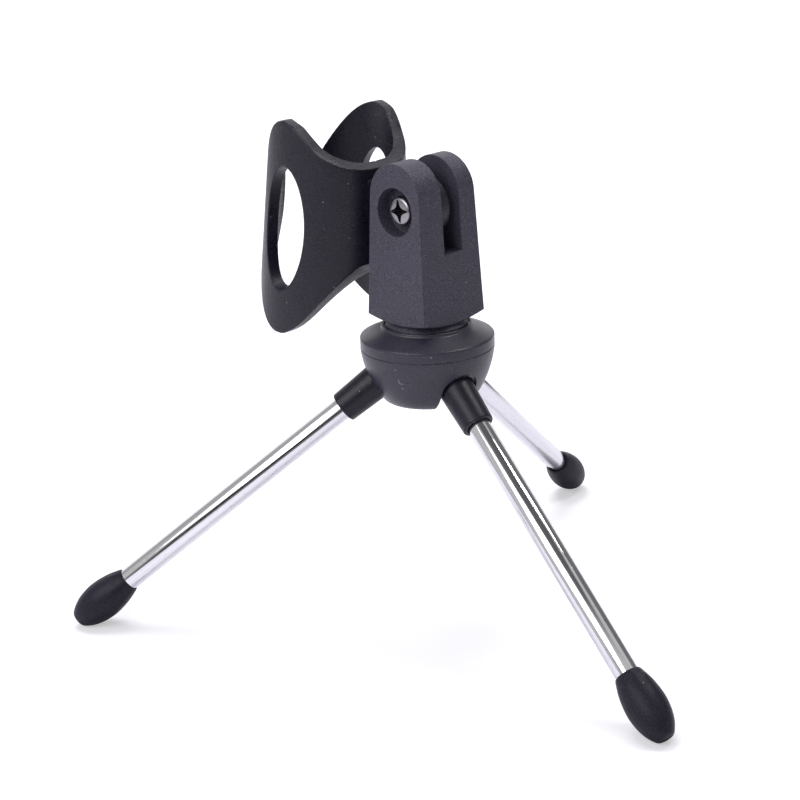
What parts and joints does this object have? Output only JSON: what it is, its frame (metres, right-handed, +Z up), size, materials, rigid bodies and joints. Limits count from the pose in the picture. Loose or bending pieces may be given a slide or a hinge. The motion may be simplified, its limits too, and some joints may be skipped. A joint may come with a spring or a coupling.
{
  "type": "desktop microphone stand",
  "caption": "Folding tripod desk stand with a round hub, plated legs, rubber feet and a tilting fork that holds a slotted open clip for a hand microphone.",
  "frame": {"origin": "on the table under the hub's vertical axis, in the plane that the three feet stand on", "axes": "+Z up along the hub's axis, +X along the fork's pivot screw from its head towards its nut, +Y towards the clip"},
  "size_m": [0.1656, 0.1602, 0.1307],
  "materials": {
    "clip_plastic": "fine-grained moulded black, semi-matt",
    "body_plastic": "grained moulded charcoal, matt",
    "socket_plastic": "satin black",
    "foot_rubber": "satin near-black rubber",
    "chrome": "mirror plate with fine handling scratches",
    "nickel": "nickel plate",
    "steel": "zinc-plated steel",
    "brass": "turned brass"
  },
  "bodies": {
    "base": {"hub_cap": "body_plastic", "hub_bowl": "body_plastic", "hub_stud": "steel", "hub_screws": "steel", "leg_pin_1": "steel", "leg_pin_2": "steel", "leg_pin_3": "steel"},
    "fork": {"yoke": "body_plastic", "yoke_insert": "brass", "pivot_screw": "nickel", "pivot_nut": "nickel"},
    "clip": {"mic_clip": "clip_plastic"},
    "leg_1": {"leg_socket_1": "socket_plastic", "leg_tube_1": "chrome", "foot_1": "foot_rubber"},
    "leg_2": {"leg_socket_2": "socket_plastic", "leg_tube_2": "chrome", "foot_2": "foot_rubber"},
    "leg_3": {"leg_socket_3": "socket_plastic", "leg_tube_3": "chrome", "foot_3": "foot_rubber"}
  },
  "joints": [
    {"name": "fork_swivel", "type": "hinge", "parent": "base", "child": "fork", "pos_m": [0, 0, 0.0796], "axis": [0, 0, 1], "range_deg": [-180, 180]},
    {"name": "clip_tilt", "type": "hinge", "parent": "fork", "child": "clip", "pos_m": [0, 0, 0.11015], "axis": [1, 0, 0], "range_deg": [-8, 150]},
    {"name": "leg_fold_1", "type": "hinge", "parent": "base", "child": "leg_1", "pos_m": [0.00615, 0.00209, 0.0697], "axis": [-0.3223, 0.9466, 0], "range_deg": [0, 52]},
    {"name": "leg_fold_2", "type": "hinge", "parent": "base", "child": "leg_2", "pos_m": [-0.00489, 0.00428, 0.0697], "axis": [-0.6587, -0.7524, 0], "range_deg": [0, 52]},
    {"name": "leg_fold_3", "type": "hinge", "parent": "base", "child": "leg_3", "pos_m": [-0.00126, -0.00638, 0.0697], "axis": [0.981, -0.1942, 0], "range_deg": [0, 52]}
  ]
}
